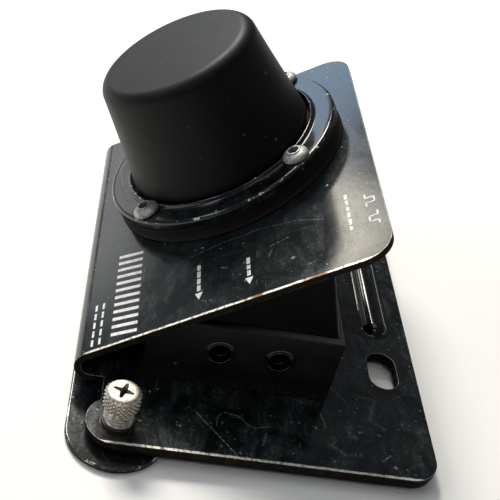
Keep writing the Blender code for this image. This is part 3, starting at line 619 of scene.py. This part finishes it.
def make_mat(material):
    """Rubber sheet under the base plate, with one flat tread."""
    inset, front = 0.5, 11.0
    r = BASE_CORNER - inset
    low, high, back = BASE_FAR + inset, BASE_NEAR - inset, BASE_BACK - inset
    outline = arc(high - 9, front + 9, 9, -90, 0, 10) + arc(high - r, back - r, r, 0, 90, 12) \
        + arc(low + r, back - r, r, 90, 180, 12) + arc(low + 3, front + 3, 3, 180, 270, 5)
    holes = [slot_hole(0.2), arc(*BAR_FIX, 5.0, 0, 345, 23)]
    bm = plate(outline, holes, MAT_BOTTOM, MAT_TOP, 0.45, 2)
    piece("rubber_mat", bm, BENCH, material, stands_for=["floor_mat"],
          sharp=50)
    c, t_low, t_high, t_front, t_back = 5.0, low + 9, high - 9, BOLT[1] + BAR_R + 6, SLOT[1] - 12
    tread = arc(t_high - c, t_front + c, c, -90, 0, 8) + arc(t_high - c, t_back - c, c, 0, 90, 8) \
        + arc(t_low + c, t_back - c, c, 90, 180, 8) + arc(t_low + c, t_front + c, c, 180, 270, 8)
    piece("mat_tread", plate(tread, (), FLOOR, MAT_BOTTOM + 0.3, 0.5, 2), BENCH, material,
          sharp=50)


# ---- anchor bolt ---------------------------------------------------------------------
def make_bolt(material, dirt):
    """Knurled head with a cross recess on a coarse threaded shank with a pointed tip."""
    tip, neck, under, top, pitch = FLOOR + 0.3, 6.9, 7.6, 14.8, 1.5
    rows = [(0.05, tip), (0.8, tip + 0.15)]
    rows += [(0.8 + 4.1 * i / 4, tip + 0.15 + 4.1 * i / 4) for i in range(1, 5)]
    thread_start = rows[-1][1]
    thread_rows, knurl_rows = 84, 28
    rows += [(THREAD_R, thread_start + (neck - thread_start) * i / thread_rows)
             for i in range(1, thread_rows + 1)]
    rows += [(5.0, neck + 0.1), (4.9, under - 0.1), (5.4, under), (5.9, under + 0.2)]
    rows += [(KNURL_R, under + 0.5 + (top - 1.7 - under) * i / knurl_rows) for i in range(knurl_rows + 1)]
    rows += [(5.95, top - 0.9), (5.5, top - 0.3), (5.25, top - 0.08), (4.9, top), (3.8, top), (0.0, top)]
    bm = turned([(0.0, tip)] + rows, 208)
    knurls, knurl_rise = 22, 1.8
    for v in bm.verts:
        r, a, z = hypot(v.co.x, v.co.y), atan2(v.co.y, v.co.x), v.co.z
        if THREAD_R - 0.05 < r < THREAD_R + 0.05 and thread_start < z < neck:
            crest = 2 * abs((z / pitch + a / (2 * pi)) % 1 - 0.5)
            grow = 0.7 * crest - 0.55
        elif KNURL_R - 0.05 < r < KNURL_R + 0.05:
            u, w = a * knurls / (2 * pi), (z - under) / knurl_rise
            crest = min(abs(((u + w) % 1) - 0.5), abs(((u - w) % 1) - 0.5)) * 2
            grow = 1.1 * min(crest, 0.6) - 0.45
        else:
            continue
        v.co.x *= (r + grow) / r
        v.co.y *= (r + grow) / r
    made = piece("knurled_bolt", bm, ON_BOLT, material, body="anchor", stands_for=["anchor_bolt"],
                 sharp=30, weighted=False)
    reach, wing = 4.4, 0.95
    end, root = wing * 0.6, wing * 1.3
    cross = [(reach, -end), (reach, end), (root, root), (end, reach), (-end, reach), (-root, root),
             (-reach, end), (-reach, -end), (-root, -root), (-end, -reach), (end, -reach), (root, -root)]
    recess, recess_floor = ON_BOLT @ turn(-0.3, 'Z'), 12.2
    tool = plate(cross, (), recess_floor, 16.5)
    for v in tool.verts:
        if v.co.z < 13:
            v.co.x *= 0.6
            v.co.y *= 0.6
    carve(made, tool, recess, "cross_recess_tool")
    smooth(made.data, 30)
    # the hollows of the knurl and the thread are marked, to be coloured darker brown
    hollow = made.data.attributes.new("hollow", 'FLOAT', 'POINT')
    unplace = ON_BOLT.inverted()
    for v, depth in zip(made.data.vertices, hollow.data):
        x, y, z = unplace @ v.co
        if under + 0.5 < z < top - 1.6:
            depth.value = max(0.0, min(1.0, (KNURL_R + 0.03 - hypot(x, y)) / 0.3))
        elif z < neck:
            depth.value = max(0.0, min(1.0, (THREAD_R - 0.18 - hypot(x, y)) / 0.3))
    fill = plate([(x * 0.62, y * 0.62) for x, y in cross], (), recess_floor, 12.6)
    piece("recess_dirt", fill, recess, dirt, body="anchor")


def make_bush(material):
    """Threaded bush, flanged on top of the ear."""
    profile = [(5.45, -4.6), (6.05, -4.6), (6.05, 0.03), (6.3, 0.03), (6.3, 1.0), (6.15, 1.25), (5.9, 1.35),
               (5.6, 1.3), (5.45, 1.1)]
    piece("threaded_bush", turned(profile, 72, closed=True), ON_BOLT, material, stands_for=["anchor_bush"])


# ---- pad stack ------------------------------------------------------------------------
def make_pad(material):
    """Strike pad: a blunt rubber cone with a generous round to its flat top."""
    foot_r, top_r, foot, top, rim = 38.7, 32.5, 10.7, 55.4, 5.2
    lean = atan2(foot_r - top_r, top - foot)
    centre = top_r - rim + 0.2
    profile = [(0, top), (10, top), (18, top - 0.02), (23, top - 0.07), (centre - 1, top - 0.2)]
    profile += [(centre + rim * sin(a), top - rim - 0.1 + rim * cos(a)) for a in
                [(pi / 2 - lean) * i / 12 for i in range(1, 13)]]
    start_r, start_h = profile[-1]
    steps = 14
    profile += [(start_r + (foot_r - start_r) * i / steps - 0.25 * sin(pi * i / steps),
                 start_h + (foot + 0.8 - start_h) * i / steps) for i in range(1, steps + 1)]
    profile += [(foot_r - 0.2, foot + 0.2), (foot_r - 0.8, foot), (foot_r - 6, foot),
                (foot_r - 6.4, foot + 0.4), (foot_r - 11.0, 49.0), (0, 49.4)]
    made = piece("rubber_strike_pad", turned(profile, 128), ON_PAD, material, body="pad",
                 stands_for=["strike_pad"], weighted=False)


def make_ring(material):
    """Clamp ring: pressed steel, rolled down at its rim and turned up round the pad."""
    inner, outer, low, top = 39.9, 49.8, 6.5, 10.2
    profile = [(inner, 8.6), (inner, 11.1)] + arc(inner + 0.55, 11.1, 0.55, 180, 20, 5) \
        + arc(inner + 2.3, top + 1.0, 1.1, 190, 265, 4) \
        + [(inner + 4.5, top + 0.02), (outer - 2.6, top + 0.08), (outer - 1.9, top + 0.06)] \
        + arc(outer - 1.5, top - 1.45, 1.5, 78, 4, 6) \
        + [(outer, low + 0.4), (outer - 0.25, low + 0.05), (outer - 0.7, low), (outer - 1.7, low + 0.3),
           (outer - 2.0, 8.2), (outer - 2.6, 8.6)]
    bm = turned(profile, 160, closed=True)
    mark_worn(bm, lambda c: outer - 0.95 < hypot(c.x, c.y) < outer - 0.2 and c.z > top - 1.2
              or hypot(c.x, c.y) < inner + 1.1 and c.z > 11.45)
    piece("steel_clamp_ring", bm, ON_PAD, material, stands_for=["clamp_ring"])


def make_brim(material):
    """Rubber brim under the ring, lipped at its foot and its top."""
    r_in, r_out = 35.5, 49.5
    profile = [(r_in, 0.35), (r_out + 0.25, 0.35), (r_out + 0.4, 0.6), (r_out + 0.35, 0.95),
               (r_out - 0.05, 1.3), (r_out - 0.3, 2.2), (r_out - 0.35, 4.2), (r_out - 0.15, 5.3),
               (r_out + 0.1, 5.7), (r_out, 6.1), (r_out - 0.5, 6.25), (r_in, 6.25)]
    piece("rubber_brim", turned(profile, 144, closed=True), ON_PAD, material, stands_for=["pad_brim"])


def make_ring_screws(material, dirt):
    """Button-head screws with hexagon sockets, part filled with dirt."""
    seat = 10.5
    for number, (a, b) in enumerate([(1, -1), (-1, -1), (1, 1), (-1, 1)], 1):
        x, y = a * SCREW_HALF, b * SCREW_HALF
        profile = [(0, 3.25), (2.3, 3.25), (2.75, 3.18)] \
            + [(5.25 * cos(t), 0.55 + 2.62 * sin(t)) for t in [radians(58 - 58 * i / 8) for i in range(9)]] \
            + [(5.2, 0.2), (5.0, 0.0), (2.85, 0.0), (2.85, -20.0), (2.4, -20.4), (0, -20.4)]
        bm = turned(profile, 56)
        place = ON_PAD @ at((x, y, seat))
        made = piece(f"button_screw_{number}", bm, place, material, stands_for=[f"ring_screw_{number}"],
                     sharp=35, weighted=False)
        spin = turn(0.4 * number + 0.2, 'Z')
        carve(made, plate(hexagon(4.1), (), 1.0, 6.0), place @ spin, "socket_tool")
        smooth(made.data, 35)
        piece(f"socket_dirt_{number}", plate(hexagon(4.0), (), 0.95, 1.5, 0.2, 2), place @ spin, dirt)


# ---- connection box ----------------------------------------------------------------------
def under_slope(y):
    """Height of the slope's underside."""
    return FOLD_TOP.z + tan(SLOPE) * (y - FOLD_TOP.y) - SHEET / cos(SLOPE)


def side_block(outline, x_low, x_high, round_mm):
    """A block whose side outline is given in (y, z), with every edge rounded."""
    bm = bmesh.new()
    face = bm.faces.new([bm.verts.new((x_low, *p)) for p in outline])
    extrude(bm, [face], (x_high - x_low, 0, 0))
    bmesh.ops.recalc_face_normals(bm, faces=bm.faces)
    edges = [e for e in bm.edges if min(v.co.z for v in e.verts) > 2]
    bmesh.ops.bevel(bm, geom=edges, offset=round_mm, offset_type='OFFSET', segments=4, profile=0.5,
                    affect='EDGES', material=-1, clamp_overlap=True)
    return bm


def make_box(tray_plastic, cover_plastic):
    """Connection box: a tray whose front follows the slope, and a cover stepped in above it."""
    skin = 0.7
    start_z = under_slope(TRAY_FRONT) - skin
    level = TRAY_FRONT + (TRAY_TOP - start_z) / tan(SLOPE)
    tray = side_block([(TRAY_FRONT, 0.3), (TRAY_BACK, 0.3), (TRAY_BACK, TRAY_TOP), (level, TRAY_TOP),
                       (TRAY_FRONT, start_z)], TRAY_X, JACK_PANEL, 1.4)
    shell = piece("moulded_tray", tray, BENCH, tray_plastic, stands_for=["housing_tray"])
    jack_hole = [(0, -30), (5.0, -30), (5.0, -0.9), (5.52, -0.7), (5.6, 0.3), (5.6, 3), (0, 3)]
    for y in JACK_Y:
        place = BENCH @ at((JACK_PANEL, y, JACK_Z)) @ turn(pi / 2, 'Y')
        carve(shell, turned(jack_hole, 64), place, "jack_hole_tool")
    window = BENCH @ at((0, TRAY_BACK, 11.6))
    carve(shell, plate([(46.8, -6), (57.2, -6), (57.2, 4), (46.8, 4)], (), -2.6, 2.6), window, "window_tool")
    smooth(shell.data, 40)
    front, back, foot = level + 4.5, TRAY_BACK - STEP_IN, TRAY_TOP - 0.3
    back_top = back - COVER_LEAN
    cover = side_block([(front, foot), (back, foot), (back_top, under_slope(back_top) - skin),
                        (front, under_slope(front) - skin)], TRAY_X + STEP_IN, JACK_PANEL - STEP_IN, 1.2)
    piece("moulded_cover", cover, BENCH, cover_plastic, stands_for=["housing_cover"])


def make_jacks(sleeve, plastic):
    """Sockets: a black bushing flush in the panel with a plated sleeve inside it."""
    for name, y in zip(("output", "mix"), JACK_Y):
        place = BENCH @ at((JACK_PANEL, y, JACK_Z)) @ turn(pi / 2, 'Y')
        bushing = turned([(3.45, -20), (4.9, -20), (4.9, -1.6), (5.5, -1.4), (5.5, -0.2), (5.35, -0.08),
                          (4.8, -0.08)] + arc(4.42, 0.1, 0.34, 0, 180, 8)
                         + [(3.95, -1.2), (3.45, -2.6)], 72, closed=True)
        piece(f"{name}_bushing", bushing, place, plastic, stands_for=[f"{name}_jack"])
        tube = turned([(3.25, -14), (3.44, -14), (3.44, -2.9), (3.6, -2.65), (3.55, -2.5), (3.35, -2.7),
                       (3.25, -3.1)], 64, closed=True)
        piece(f"{name}_sleeve", tube, place, sleeve, stands_for=[f"{name}_collar"])


# ---- printed marks ---------------------------------------------------------------------------
INK_LIFT, INK_FILM = 0.02, 0.05


def ink_patch(bm, outline):
    """One patch of ink, a thin film that just clears the paint."""
    face = bm.faces.new([bm.verts.new((x, y, INK_LIFT)) for x, y in outline])
    extrude(bm, [face], (0, 0, INK_FILM))


def ink_box(bm, x, y, length, height, lean=0.0):
    """A straight or slanted bar of ink from its lower left corner."""
    ink_patch(bm, [(x, y), (x + length, y), (x + length + lean, y + height), (x + lean, y + height)])


def make_print(ink):
    """Plain printed marks: a band of slanted bars, a row of short bars, arrows to the sockets
    and the two pulse shapes of the polarity switch."""
    band = bmesh.new()
    for i in range(12):
        ink_box(band, 21 + 4.2 * i, 10.5, 1.7, 10.5, 1.8)
    for i in range(5):
        ink_box(band, 48 + 4.9 * i, 2.6, 3.4, 0.9)
        ink_box(band, 48 + 4.9 * i, 5.6, 3.4, 0.9)
    bmesh.ops.recalc_face_normals(band, faces=band.faces)
    piece("printed_band", band, ON_SLOPE, ink, weighted=False)
    labels = bmesh.new()
    for s, x, dashes in ((44.0, 45.0, (3.0, 3.4, 3.0, 3.2)), (63.4, 50.5, (3.6, 2.2, 3.0))):
        for length in dashes:
            ink_box(labels, x, s + 0.3, length, 1.4)
            x += length + 0.8
        ink_patch(labels, [(x + 0.3, s - 0.5), (x + 4.1, s + 1.05), (x + 0.3, s + 2.6)])
    x = 33.0
    for length in (3.0, 3.4, 2.6, 3.2, 3.6, 2.4):
        ink_box(labels, x, 102.8, length, 1.1)
        x += length + 0.8
    for x, up in ((37.0, 1), (48.5, -1)):
        s = 110.2 if up > 0 else 113.4
        ink_box(labels, x, s - 0.3, 2.4, 0.6)
        ink_box(labels, x + 2.2, min(s, s + 3.2 * up) - 0.3, 0.6, 3.8)
        ink_box(labels, x + 2.2, s + 3.2 * up - 0.3, 3.6, 0.6)
        ink_box(labels, x + 5.2, min(s, s + 3.2 * up) - 0.3, 0.6, 3.8)
        ink_box(labels, x + 5.2, s - 0.3, 2.4, 0.6)
    bmesh.ops.recalc_face_normals(labels, faces=labels.faces)
    piece("printed_labels", labels, ON_SLOPE, ink, weighted=False)


# ---- dress the object ---------------------------------------------------------------------------
# scratches: the points of the line, its width and its strength
SLOPE_SCRATCHES = [
    ([(39, 37), (36, 53), (35.5, 70), (38, 84), (43, 94)], 0.45, 0.5),
    ([(48, 73), (46.5, 80)], 0.8, 0.55), ([(54, 72), (50.5, 73.5)], 0.7, 0.5),
    ([(49, 41), (43, 46)], 0.5, 0.4), ([(12, 9), (40, 20), (66, 28)], 0.3, 0.3),
    ([(-40, 22), (-12, 12), (18, 14)], 0.4, 0.3), ([(51, 54), (52, 56)], 1.2, 0.5),
    ([(66, 86), (65, 89)], 1.1, 0.5),
]
BASE_SCRATCHES = [
    ([(86, 46), (93.5, 52), (104.5, 61)], 0.75, 0.85),
    ([(84, 56), (85, 61.5), (88, 64), (90, 67), (88, 73)], 0.7, 0.5),
    ([(91, 53), (87, 53.5), (84.5, 55)], 0.6, 0.5), ([(97.5, 69.5), (91.5, 71.5)], 1.1, 0.5),
    ([(78, 92.5), (85, 94)], 1.0, 0.7), ([(98, 114), (95, 117)], 1.1, 0.8),
    ([(85, 89.5), (86, 90.5)], 1.3, 0.9), ([(87.5, 104.5), (88.5, 105.5)], 1.4, 0.9),
    ([(93, 95), (97, 100), (96, 106)], 2.4, 0.3),
    ([(66, 107), (67, 115), (78, 112), (82, 117)], 2.6, 0.22), ([(60, 96), (70, 103)], 1.6, 0.2),
]

base_enamel = gloss_enamel("gloss_black_enamel_base", BENCH, BASE_SCRATCHES, dust=0.9, haze=1.0,
                           wear=1.1, gloss=0.17, veil="#0a0d0d", worn_and_highlit_rim_x=BASE_NEAR)
slope_enamel = gloss_enamel("gloss_black_enamel_slope", ON_SLOPE, SLOPE_SCRATCHES, dust=0.32,
                            haze=0.6, wear=1.2, gloss=0.13, veil="#14191a", worn_and_highlit_rim_x=SLOPE_HALF)
ring_enamel = gloss_enamel("gloss_black_enamel_ring", ON_PAD, [([(-10, -46), (6, -44)], 0.5, 0.5)], dust=0.3,
                           haze=0.4, wear=0.15)
bar_enamel = gloss_enamel("gloss_black_enamel_bar", BENCH, (), dust=0.6, haze=0.45, wear=0.2)
bead_enamel = gloss_enamel("gloss_black_enamel_bead", BENCH, (), dust=0.25, haze=0.12, wear=0.0, gloss=0.1)
cut_edge = raw_cut("dirty_cut_edge", BENCH)
pad_rubber = moulded_rubber("matte_moulded_rubber", ON_PAD, "#070808", "#0c0d0d", (0.44, 0.54), 0.6,
                            shine=0.17)
brim_rubber = moulded_rubber("brown_black_rubber_brim", ON_PAD, "#120f0c", "#221c17", (0.6, 0.8), 0.7,
                             shine=0.2)
mat_rubber = moulded_rubber("brown_black_rubber_mat", BENCH, "#0c0a08", "#1b1611", (0.7, 0.85), 1.0,
                            shine=0.12)
grommet_rubber = moulded_rubber("grommet_rubber", BENCH, dust=0.3)
# the tray gets dust along its foot and a painted highlight round its ledge
tray_abs = moulded_abs("black_abs_tray", BENCH, "#090a0a", "#121313", low_dust_and_ledge_sheen=True, shine=0.14)
# the cover's black is darker than the tray's: painted shade, as the cover sits in shade under the slope
shade_darkened_cover_abs = moulded_abs("shade_darkened_black_abs_cover", BENCH, "#030303", "#080909", shine=0.05)
jack_nylon = moulded_abs("black_nylon_bushing", BENCH, "#050606", "#0b0c0d", rough=(0.16, 0.25), shine=0.5)
screw_zinc = plated_steel("dull_zinc_plate", ON_PAD, "#b9bbb7", "#7f7d77", 0.55, (0.45, 0.6), 0.6)
bolt_nickel = plated_steel("bright_nickel_plate", ON_BOLT, "#f4eee0", "#c4b9a4", 0.8, (0.26, 0.40), 0.85)
bare_steel = plated_steel("plated_steel", BENCH, "#8f8f8d", "#5b5a57", 0.4, (0.3, 0.5))
dark_bush = plated_steel("blackened_bush", BENCH, "#3a3834", "#181613", 0.7, (0.4, 0.6), 0.6)
sleeve_nickel = plated_steel("nickel_sleeve", BENCH, "#6e7176", "#3c3e42", 0.5, (0.25, 0.4))
sensor_brass = plated_steel("brass_disc", ON_PAD, "#c8a45c", "#8d7038", 0.2, (0.3, 0.45))
packed_dirt = moulded_rubber("packed_dirt", ON_BOLT, "#120e0a", "#2a2119", (0.8, 0.95), 0.6, shine=0.1)
white_ink = screen_ink("white_screen_ink", ON_SLOPE)
grey_foam = open_foam("open_cell_foam", ON_PAD)
green_board = circuit_laminate("circuit_laminate", BENCH)
lead_sleeve = moulded_rubber("grey_lead_sleeve", BENCH, "#6b6b6d", "#7d7d7f", (0.5, 0.65), 0.3)

make_folded_plate(base_enamel, cut_edge, slope_enamel)
make_bead(bead_enamel)
make_bar([bar_enamel, cut_edge])
make_mat(mat_rubber)
make_bolt(bolt_nickel, packed_dirt)
make_bush(dark_bush)
make_pad(pad_rubber)
make_ring(ring_enamel)
make_brim(brim_rubber)
make_ring_screws(screw_zinc, packed_dirt)
make_box(tray_abs, shade_darkened_cover_abs)
make_jacks(sleeve_nickel, jack_nylon)
make_print(white_ink)

# CAD nodes that keep their shape and only get a finish
KEPT = {
    screw_zinc: ["ring_nut_1", "ring_nut_2", "ring_nut_3", "ring_nut_4", "bar_screw", "bar_nut",
                 "housing_screw_1", "housing_screw_2", "board_screw_1", "board_screw_2"],
    bare_steel: ["sensor_plate", "switch_body"],
    sensor_brass: ["piezo_disc"],
    grey_foam: ["pad_foam", "sensor_cushion"],
    green_board: ["circuit_board"],
    lead_sleeve: ["sensor_lead"],
    jack_nylon: ["switch_slider"],
    grommet_rubber: ["slope_grommet", "tray_grommet"],
}
for finish, nodes in KEPT.items():
    for node in nodes:
        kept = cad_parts[node]
        kept.data.materials.clear()
        kept.data.materials.append(finish)

# ---- studio -------------------------------------------------------------------------------------
scene = bpy.context.scene
scene.view_settings.view_transform = 'Standard'
floor_z, floor_gap = cad_box[0][2], 0.0002

ground = bmesh.new()
bmesh.ops.create_grid(ground, x_segments=1, y_segments=1, size=6)
bmesh.ops.translate(ground, vec=(0, 0, floor_z - floor_gap), verts=ground.verts)
ground_mesh = bpy.data.meshes.new("studio_floor")
ground.to_mesh(ground_mesh)
ground.free()
pale_floor = start("pale_floor", 0.9, colour="#f4f4f2", Specular_IOR_Level=0.0)[0]
ground_mesh.materials.append(pale_floor)
studio_floor = bpy.data.objects.new("studio_floor", ground_mesh)
scene.collection.objects.link(studio_floor)

world = bpy.data.worlds.new("studio_room")
world.use_nodes = True
world.node_tree.nodes["Background"].inputs[0].default_value = srgb("#b7bcc4")
world.node_tree.nodes["Background"].inputs[1].default_value = 0.25
scene.world = world


LAMP_AIM = Vector((0, 0, 0.04))


def lamp(name, azimuth, elevation, distance, width, height, watts, colour):
    """A soft box that faces the object; azimuth 0 stands at -Y and grows towards +X."""
    light = bpy.data.lights.new(name, 'AREA')
    light.shape, light.size, light.size_y = 'RECTANGLE', width, height
    light.energy, light.color = watts, srgb(colour)[:3]
    made = bpy.data.objects.new(name, light)
    a, e = radians(azimuth), radians(elevation)
    away = Vector((sin(a) * cos(e), -cos(a) * cos(e), sin(e)))
    facing = away.to_track_quat('Z', 'Y').to_matrix().to_4x4()
    made.matrix_world = at(away * distance + LAMP_AIM) @ facing
    scene.collection.objects.link(made)


lamp("overhead_softbox", -60, 76, 1.5, 1.0, 1.0, 3.2, "#fffdfa")
lamp("key_softbox", -66, 43, 2.0, 0.8, 0.5, 50, "#fffaf2")
lamp("cool_window", -73, 19, 1.6, 0.42, 0.26, 1.15, "#b4d2f4")
lamp("warm_window", -63, 27, 1.6, 0.2, 0.15, 1.05, "#fff7e6")
lamp("low_window", -57, 11, 1.6, 0.42, 0.18, 0.5, "#eef0ee")
lamp("front_window", 4, 38, 1.6, 1.5, 0.2, 4.2, "#eaf2fb")
lamp("rim_strip", 78, 53, 1.6, 0.6, 0.12, 1.7, "#fff8ee")

# camera at the near side, rolled a little; azimuth and elevation are measured as for the lamps
camera_data = bpy.data.cameras.new("camera")
camera_data.lens, camera_data.sensor_width = 69.5, 36
camera_data.shift_x, camera_data.shift_y = 0.041, 0.0534
camera_data.clip_start, camera_data.clip_end = 0.01, 50
camera = bpy.data.objects.new("camera", camera_data)
azimuth, elevation, roll = radians(79.8), radians(36.8), radians(14.8)
back = Vector((sin(azimuth) * cos(elevation), -cos(azimuth) * cos(elevation), sin(elevation)))
right = (-back).cross(Vector((0, 0, 1))).normalized()
up = right.cross(-back)
right, up = right * cos(roll) + up * sin(roll), up * cos(roll) - right * sin(roll)
look_at, camera_distance = BENCH @ Vector((0, 60.15, -2.4)), 0.4179
camera.matrix_world = at(look_at + back * camera_distance) @ Matrix((right, up, back)).transposed().to_4x4()
scene.collection.objects.link(camera)
scene.camera = camera
